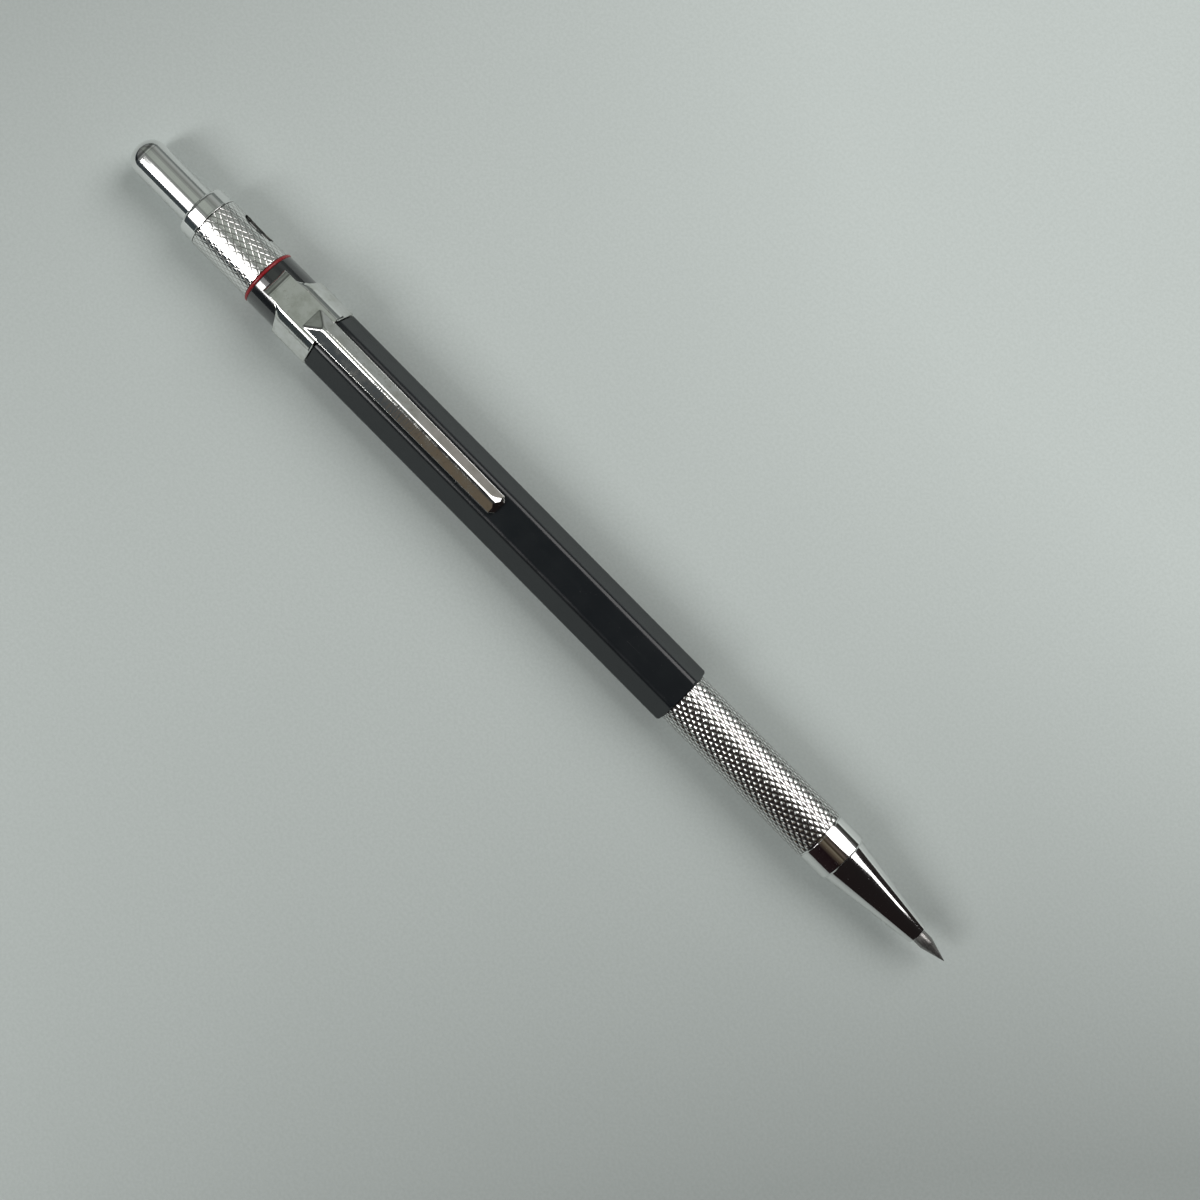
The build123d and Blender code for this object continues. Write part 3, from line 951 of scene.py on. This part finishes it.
def strip_section(x):
    """Section of the clip's strip at a station: (y, height) points right round it."""
    along = min(max((x - RAMP_FRONT) / (TIP_FRONT - RAMP_FRONT), 0.0), 1.0)
    half = ARM_ROOT_HALF + along * (ARM_TIP_HALF - ARM_ROOT_HALF)
    half -= TIP_NARROWING * max(x - (TIP_FRONT - TIP_ROUND), 0.0) / TIP_ROUND
    rim = TABLE_HALF if x < WALL_FRONT else half
    edge = TABLE_TOP - ARM_DROP * along
    ramp_height = max(x - RAMP_REAR, 0.0) * RIDGE / (RAMP_FRONT - RAMP_REAR)
    ramp_height += max(x - RAMP_CLEAR, 0.0) * STEEP
    hip_height = HIP_HEIGHT - max(x - HIP_REAR, 0.0) * HIP_SLOPE + max(HIP_REAR - x, 0.0) * STEEP

    def top(y):
        """Height of the strip's upper side."""
        rise = max(least(roof(y, half), ramp_height, 0.18), 0.0)
        across = CORNER_LEAN * y if y > 0 else -CORNER_LEAN * y - CORNER_SHIFT
        corner = HIP_HEIGHT - (x - CORNER_REAR) * CORNER_SLOPE - across
        return edge + least(least(rise, corner, 0.10), hip_height, 0.10)

    wall = smooth(WALL_START, WALL_FULL, x) if x < WALL_FRONT else 0.0
    foot = smooth(FOOT_REAR - 0.05, FOOT_REAR + FOOT_STEP, x)
    barb = BARB * foot * (1 - smooth(FOOT_REAR + FOOT_STEP, FOOT_REAR + 0.45, x))
    low = edge - SKIRT - wall * (edge - SKIRT - WALL_LOW) - foot * (edge - SKIRT - FOOT_LOW)
    bend = EDGE_RADIUS + WALL_BEND * wall
    shoulder = top(rim - EDGE_RADIUS)
    side = []
    for angle in BEND_ANGLES:
        turn = math.radians(angle)
        side.append((
            rim - EDGE_RADIUS + bend * math.sin(turn),
            shoulder - bend * (1 - math.cos(turn)),
        ))
    reach, drop = side[-1][0] + WALL_REACH * wall, side[-1][1] - WALL_DROP * wall
    bent = math.radians(BEND_ANGLES[-1])
    for angle in EDGE_ANGLES:
        turn = math.radians(angle)
        side.append((
            reach + EDGE_RADIUS * (math.sin(turn) - math.sin(bent)),
            drop - EDGE_RADIUS * (math.cos(bent) - math.cos(turn)),
        ))
    splay = WALL_SPLAY * wall
    flare = (FOOT_FLARE + barb) * foot
    out = side[-1][0] + flare + 0.01 + splay - rim
    low = min(low, side[-1][1] - 0.04)
    side.append((rim + out - (flare + splay) * 0.5, (low + side[-1][1]) / 2))
    side.append((rim + out, low))
    side.reverse()
    width = rim - EDGE_RADIUS
    outside = side + [(y, top(y)) for y in (width * (1 - step / 20) for step in range(41))]
    outside += [(-y, height) for y, height in reversed(side)]
    solid = smooth(TIP_FRONT - TIP_SOLID, TIP_FRONT - TIP_ROUND, x)
    inner = rim - SHEET

    def under(y):
        """Height of the strip's under side."""
        hollow = top(y) - SHEET
        return max(hollow + (low + 0.02 - hollow) * solid, low + 0.01)

    inside = [(-inner - out, low), (-inner - out * 0.5, (low + under(inner)) / 2)]
    inside += [(y, under(y)) for y in (inner * (step / 8 - 1) for step in range(17))]
    inside += [(inner + out * 0.5, (low + under(inner)) / 2), (inner + out, low)]
    return outside + inside


def strip_loop(x):
    """The strip's section at a station, as points."""
    return [Vector((station(x), y * MM, AXIS_Z + height * MM)) for y, height in strip_section(x)]


def lip_loop(angle):
    """Section of the rolled lip: the table's section turned down about the lip's centre."""
    points = []
    low = TABLE_TOP - LIP_RADIUS
    for y, height in strip_section(TABLE_REAR):
        reach = height - low
        x = TABLE_REAR - reach * math.sin(angle)
        points.append(Vector((station(x), y * MM, AXIS_Z + (low + reach * math.cos(angle)) * MM)))
    return points


def make_strip(material):
    """The clip's strip: rolled lip, table, ramp, gabled arm and foot, in one sheet."""
    lip_steps = 14
    loops = [lip_loop(LIP_TURN * (1 - step / lip_steps)) for step in range(lip_steps)]
    places = [TABLE_REAR]

    def run(until, count):
        """Add stations at even steps up to one."""
        start = places[-1]
        for step in range(1, count + 1):
            places.append(start + (until - start) * step / count)

    run(29.8, 22)
    run(RAMP_REAR - 0.2, 8)
    run(WALL_FRONT - 0.001, 32)
    run(WALL_FRONT + 0.001, 1)
    run(WALL_FRONT + 0.4, 4)
    run(FOOT_REAR - 0.1, 60)
    run(FOOT_REAR + 0.5, 14)
    run(HIP_REAR - 0.2, 12)
    run(TIP_FRONT, 24)
    loops += [strip_loop(x) for x in places]
    piece = skin("clip_strip", loops, capped=True, sharp_degrees=26.0)
    piece.data.materials.append(material)
    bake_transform(piece)
    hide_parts("clip_arm")
    return piece


# --- Inner pieces: the spring is rebuilt as a coil, the others keep their CAD shape ---
SPRING_WIRE = 0.4
SPRING_TURNS = 9
SPRING_STEPS = 24
WIRE_STEPS = 10


def make_spring(material):
    """Return spring: a coil between its front seat and the collar on the lead tube."""
    rear, front = span("return_spring")
    thick = SPRING_WIRE / 2 * MM
    rear, front = rear + thick, front - thick
    reach = radius_of("return_spring") - thick
    pitch = (front - rear) / SPRING_TURNS
    angles = [math.tau * k / WIRE_STEPS for k in range(WIRE_STEPS)]
    loops = []
    for step in range(SPRING_TURNS * SPRING_STEPS + 1):
        turn = math.tau * step / SPRING_STEPS
        out = Vector((0, math.cos(turn), math.sin(turn)))
        ahead = Vector((pitch / math.tau, -reach * out.z, reach * out.y)).normalized()
        side = ahead.cross(out)
        centre = Vector((rear + pitch * step / SPRING_STEPS, 0, AXIS_Z)) + reach * out
        loops.append([centre + thick * (math.cos(a) * out + math.sin(a) * side) for a in angles])
    piece = skin("coil_spring", loops, capped=True, sharp_degrees=50.0)
    piece.data.materials.append(material)
    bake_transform(piece)
    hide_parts("return_spring")
    return piece


def dress_inner(brass, jaw_metal, steel):
    """Materials for the CAD nodes that stay as they are."""
    choice = {
        "button_bush": brass, "lead_tube": brass, "spring_collar": brass, "clutch_body": brass,
        "jaw_1": jaw_metal, "jaw_2": jaw_metal, "jaw_3": jaw_metal,
        "rear_tube": steel,
    }
    for name, material in choice.items():
        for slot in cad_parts[name].material_slots:
            slot.material = material


# --- Stage, light and camera ---
def make_stage():
    """A large pale table top, a hair below the pen's lowest flat."""
    bm = bmesh.new()
    half = 3.0
    for x, y in ((-half, -half), (half, -half), (half, half), (-half, half)):
        bm.verts.new((x, y, -FIT_GAP * MM))
    bm.faces.new(bm.verts)
    table = finish_mesh("table_top", bm)
    table.data.materials.append(table_top())


def soft_box(name, place, shape, size, radiance, colour):
    """A flat light that faces the pen's axis, its own x lying along the pen.

    Its place is measured from the axis, and its radiance is per square metre and steradian.
    """
    light = bpy.data.lights.new(name, "AREA")
    light.shape = shape
    light.size, light.size_y = size
    area = size[0] * size[1] * (math.pi / 4 if shape == "ELLIPSE" else 1.0)
    light.energy = radiance * math.pi * area
    light.color = colour
    lamp = bpy.data.objects.new(name, light)
    bpy.context.collection.objects.link(lamp)
    back = Vector((0, place[1], place[2])).normalized()
    side = Vector((1, 0, 0))
    turn = Matrix((side, back.cross(side), back)).transposed().to_4x4()
    lamp.matrix_world = Matrix.Translation((place[0], place[1], AXIS_Z + place[2])) @ turn
    return lamp


def make_world():
    """The room, as a colour for each direction.

    It is pale behind the push button and dark in front of the point, and each part of it is
    banded between the two horizons beside the pen.
    """
    world = bpy.data.worlds.new("room")
    world.use_nodes = True
    bpy.context.scene.world = world
    room = Nodes(world.node_tree)
    background = room.tree.nodes["Background"]
    x, y, z = room.parts(room.node("ShaderNodeTexCoord")["Generated"])
    widest = 100
    turn = room.math("ARCTAN2", y, z)
    share = room.remap(turn, math.radians(-widest), math.radians(widest))

    def ramp(value, stops, interpolation):
        """A colour for each value from 0 to 1."""
        made = room.tree.nodes.new("ShaderNodeValToRGB")
        made.color_ramp.interpolation = interpolation
        while len(made.color_ramp.elements) < len(stops):
            made.color_ramp.elements.new(0.5)
        for element, (position, colour) in zip(made.color_ramp.elements, stops):
            element.position = position
            element.color = (*colour, 1)
        room.feed(value, made.inputs["Fac"])
        return made.outputs["Color"]

    def bands(stops):
        """A colour for each angle from straight up, in degrees, growing towards +Y."""
        stops = [((degrees + widest) / (2 * widest), colour) for degrees, colour in stops]
        return ramp(share, stops, "EASE")

    def along(low, high):
        """0 for directions with X below low, 1 above high."""
        return room.remap(x, low, high, interpolation_type="SMOOTHSTEP")

    def shelves(source):
        """Dim the colour towards the horizon behind the push button, in a few strips."""
        levels = ((-1.0, 0.40), (-0.93, 0.50), (-0.87, 0.62), (-0.80, 0.50), (-0.72, 0.25),
                  (-0.57, 0.35), (-0.52, 1.0), (-0.44, 1.0), (-0.37, 0.55), (-0.32, 1.0))
        stops = [(low + 1, (level, level, level)) for low, level in levels]
        dimming = ramp(room.math("ADD", x, 1.0), stops, "LINEAR")
        return room.mix(1.0, source, dimming, blend_type="MULTIPLY")

    pale_grey = (0.34, 0.37, 0.335)
    rear = bands([
        (-92, (0.05, 0.06, 0.06)), (-74, (0.040, 0.050, 0.055)), (-66, (0.035, 0.044, 0.05)),
        (-59, (0.22, 0.23, 0.225)), (-8, (0.28, 0.29, 0.28)), (-3, (0.20, 0.215, 0.20)),
        (5, pale_grey), (30, pale_grey), (37, (0.24, 0.255, 0.24)), (41, (0.25, 0.27, 0.25)),
        (47, (0.19, 0.205, 0.19)), (55, (0.25, 0.26, 0.245)), (64, (0.33, 0.35, 0.335)),
        (72, (0.33, 0.35, 0.335)), (78, (0.17, 0.19, 0.18)), (92, (0.15, 0.165, 0.16)),
    ])
    middle = bands([
        (-92, (0.03, 0.025, 0.02)), (-80, (0.10, 0.075, 0.045)), (-70, (0.19, 0.145, 0.095)),
        (-60, (0.08, 0.07, 0.055)), (-40, (0.03, 0.03, 0.03)), (20, (0.03, 0.03, 0.03)),
        (45, (0.12, 0.115, 0.11)), (68, (0.36, 0.34, 0.31)), (80, (0.22, 0.21, 0.20)),
        (95, (0.06, 0.06, 0.06)),
    ])
    front = bands([
        (-90, (0.016, 0.010, 0.011)), (-36, (0.010, 0.005, 0.006)), (-26, (0.045, 0.034, 0.026)),
        (-18, (0.09, 0.07, 0.05)), (-10, (0.15, 0.13, 0.095)), (-5, (0.03, 0.022, 0.014)),
        (4, (0.10, 0.08, 0.065)), (12, (0.04, 0.03, 0.025)), (62, (0.16, 0.155, 0.15)),
        (70, (0.12, 0.12, 0.12)), (77, (0.04, 0.04, 0.036)), (100, (0.03, 0.03, 0.027)),
    ])
    far = bands([(-95, (0.012, 0.009, 0.009)), (60, (0.012, 0.010, 0.010)), (95, (0.03, 0.026, 0.024))])
    whole = room.mix(along(-0.115, -0.085), shelves(rear), middle)
    whole = room.mix(along(-0.03, 0.06), whole, front)
    whole = room.mix(along(0.20, 0.32), whole, far)
    room.feed(whole, background.inputs["Color"])
    background.inputs["Strength"].default_value = 1.0


def make_camera():
    """A camera nearly straight above the pen, a little on its -Y side.

    It is turned so that the pen lies on the picture's diagonal.
    """
    data = bpy.data.cameras.new("camera")
    data.sensor_width = 36.0
    data.lens = 64.30
    data.clip_start = 0.01
    data.clip_end = 20.0
    camera = bpy.data.objects.new("camera", data)
    bpy.context.collection.objects.link(camera)
    place = Vector((8.58 * MM, -21.18 * MM, AXIS_Z + 281.7 * MM))
    target = Vector((9.65 * MM, 1.243 * MM, AXIS_Z))
    back = (place - target).normalized()
    turn = math.radians(45.383)
    right = Vector((math.cos(turn), math.sin(turn), 0))
    right = (right - back * back.dot(right)).normalized()
    rotation = Matrix((right, back.cross(right), back)).transposed().to_4x4()
    camera.matrix_world = Matrix.Translation(place) @ rotation
    bpy.context.scene.camera = camera


# --- Everything ---
bright = chrome()
sheet_metal = clip_chrome()
grip_metal = knurled("knurled_grip_plate", GRIP_CREST * MM, GRIP_KNURL_DEPTH * MM,
                     (0.10, 0.097, 0.092))
sleeve_metal = knurled("knurled_sleeve_plate", SLEEVE_CREST * MM, SLEEVE_KNURL_DEPTH * MM,
                       (0.42, 0.42, 0.40))

make_button(bright)
make_collar(bright)
make_indicator(sleeve_metal)
make_drum(drum_black())
make_marks(mark_white())
make_red_ring(red_plastic())
make_cap(gloss_black())
make_barrel(black_plastic())
make_band(sheet_metal)
make_strip(sheet_metal)
make_grip(grip_metal)
make_nose_ring(bright)
make_cone(bright)
make_lead(graphite())
drawn_steel = turned_metal("drawn_steel", (0.40, 0.40, 0.40), (0.55, 0.55, 0.55), 0.20, 0.34)
make_spring(drawn_steel)
dress_inner(
    turned_metal("turned_brass", (0.50, 0.34, 0.12), (0.66, 0.47, 0.20), 0.22, 0.36),
    turned_metal("jaw_brass", (0.52, 0.38, 0.17), (0.68, 0.52, 0.28), 0.16, 0.28),
    drawn_steel,
)

make_stage()
left_colour = (1.0, 0.99, 0.98)
right_colour = (1.0, 0.98, 0.97)
soft_box("left_light", (-0.57, -1.556, 1.556), "RECTANGLE", (0.505, 0.98), 11.3, left_colour)
soft_box("left_glow", (-0.57, -0.842, 2.033), "RECTANGLE", (0.505, 0.60), 1.8, left_colour)
soft_box("right_light", (0.28, 1.46, 1.66), "ELLIPSE", (1.28, 1.95), 3.35, right_colour)
soft_box("front_strip", (1.06, 1.62, 1.49), "RECTANGLE", (0.42, 0.55), 3.0, right_colour)
make_world()
make_camera()
bpy.context.scene.view_settings.view_transform = "Standard"

bpy.context.view_layer.update()
